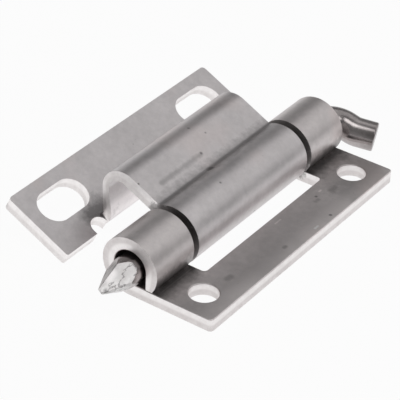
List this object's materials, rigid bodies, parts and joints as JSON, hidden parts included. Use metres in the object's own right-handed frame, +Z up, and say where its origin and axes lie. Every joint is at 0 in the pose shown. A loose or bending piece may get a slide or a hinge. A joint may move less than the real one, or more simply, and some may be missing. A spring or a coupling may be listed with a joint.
{
  "type": "concealed hinge",
  "caption": "Cranked steel lift-out hinge: a flat leaf with round screw holes, an offset leaf with slots, and a loose pin with a bent head.",
  "frame": {"origin": "on the flat leaf's underside, midway between its two screw holes", "axes": "+X along the pin towards its bent head, +Y from the flat leaf to the offset leaf, +Z up from the surface the flat leaf lies on"},
  "size_m": [0.0774, 0.0457, 0.0144],
  "materials": {
    "flat_leaf_steel": "satin stamped stainless sheet with bright sheared edges",
    "offset_leaf_steel": "satin stamped stainless sheet with faint forming marks",
    "pin_steel": "smooth drawn stainless rod, pinch-cut at the point"
  },
  "bodies": {
    "flat_leaf_body": {"plain_leaf": "flat_leaf_steel"},
    "offset_leaf_body": {"offset_leaf": "offset_leaf_steel"},
    "pin_body": {"hinge_pin": "pin_steel"}
  },
  "joints": [
    {"name": "leaf_hinge", "type": "hinge", "parent": "flat_leaf_body", "child": "offset_leaf_body", "pos_m": [0, 0.0118, 0.00585], "axis": [1, 0, 0], "range_deg": [-134.5, 153.5]},
    {"name": "pin_slide", "type": "slide", "parent": "flat_leaf_body", "child": "pin_body", "axis": [1, 0, 0], "range_m": [0, 0.0685]}
  ]
}
